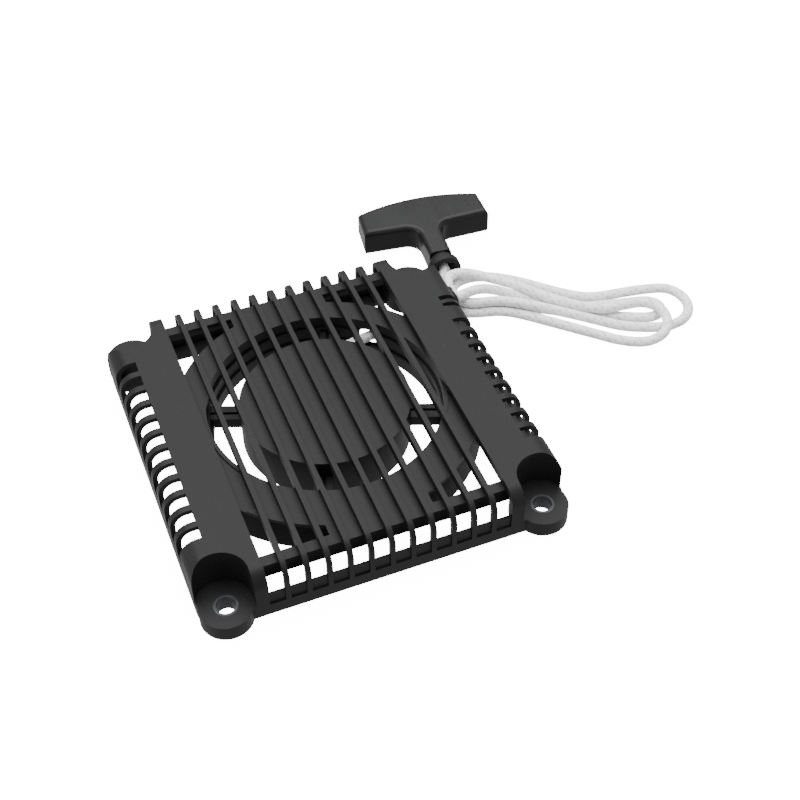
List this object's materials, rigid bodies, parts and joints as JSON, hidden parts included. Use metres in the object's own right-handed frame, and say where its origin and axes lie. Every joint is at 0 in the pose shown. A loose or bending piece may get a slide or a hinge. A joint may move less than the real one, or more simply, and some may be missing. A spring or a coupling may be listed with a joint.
{
  "type": "recoil starter",
  "caption": "Recoil starter for a small engine: a louvred square cover over a fan duct and a sprung rope reel with a pawl clutch, and a T-grip on a loose braided rope.",
  "frame": {"origin": "centre of the four mounting holes, on the plane of the feet", "axes": "+Z out of the engine through the louvres, +Y along the ribs, +X towards the rope outlet"},
  "size_m": [0.3086, 0.2402, 0.0283],
  "materials": {
    "cover_plastic": "fine grained black nylon, satin",
    "case_plastic": "moulded black nylon, satin",
    "reel_plastic": "glass-filled nylon",
    "sleeve_steel": "zinc-plated",
    "screw_steel": "zinc-plated",
    "guide_steel": "ground",
    "plate_steel": "pressed and yellow-zinc plated",
    "pawl_steel": "hardened",
    "spring_steel": "oiled blued strip",
    "bush_bronze": "sintered",
    "washer_nylon": "natural nylon",
    "rope_braid": "braided nylon, white with grey-green flecks",
    "grip_plastic": "smooth satin black",
    "collar_rubber": "matt"
  },
  "bodies": {
    "housing": {"louvre_cover": "cover_plastic", "mount_sleeves": "sleeve_steel", "rope_guide": "guide_steel", "starter_case": "case_plastic", "case_screws": "screw_steel", "centre_screw": "screw_steel", "recoil_spring": "spring_steel", "rope_lead": "rope_braid"},
    "reel": {"reel": "reel_plastic", "reel_bush": "bush_bronze", "pawl_pins": "pawl_steel", "rope_coil": "rope_braid", "reel_knot": "rope_braid", "friction_washer": "washer_nylon"},
    "guide": {"guide_plate": "plate_steel"},
    "pawl_a": {"pawl_a": "pawl_steel"},
    "pawl_b": {"pawl_b": "pawl_steel"},
    "grip": {"rope_hank": "rope_braid", "handle": "grip_plastic", "handle_collar": "collar_rubber", "grip_knot": "rope_braid", "grip_rope": "rope_braid"}
  },
  "joints": [
    {"name": "handle_pull", "type": "slide", "parent": "housing", "child": "grip", "axis": [0.9826, 0.1857, 0], "range_m": [0, 0.35], "stiffness_N_per_m": 40, "springref_m": -0.25, "deforming": ["rope_lead"]},
    {"name": "reel_spin", "type": "hinge", "parent": "housing", "child": "reel", "pos_m": [0.0012, 0.004, 0], "axis": [0, 0, 1], "range_deg": [-565, 0], "deforming": ["recoil_spring"]},
    {"name": "guide_turn", "type": "hinge", "parent": "reel", "child": "guide", "pos_m": [0.0012, 0.004, 0], "axis": [0, 0, 1], "range_deg": [0, 25]},
    {"name": "pawl_a_swing", "type": "hinge", "parent": "reel", "child": "pawl_a", "pos_m": [0.0187, 0.004, 0], "axis": [0, 0, 1], "range_deg": [0, 32]},
    {"name": "pawl_b_swing", "type": "hinge", "parent": "reel", "child": "pawl_b", "pos_m": [-0.0163, 0.004, 0], "axis": [0, 0, 1], "range_deg": [0, 32]}
  ],
  "couplings": [
    {"joint": "reel_spin", "follows": "handle_pull", "rad_per_m": -28.09},
    {"joint": "pawl_a_swing", "follows": "guide_turn", "ratio": 1.2},
    {"joint": "pawl_b_swing", "follows": "guide_turn", "ratio": 1.2}
  ]
}
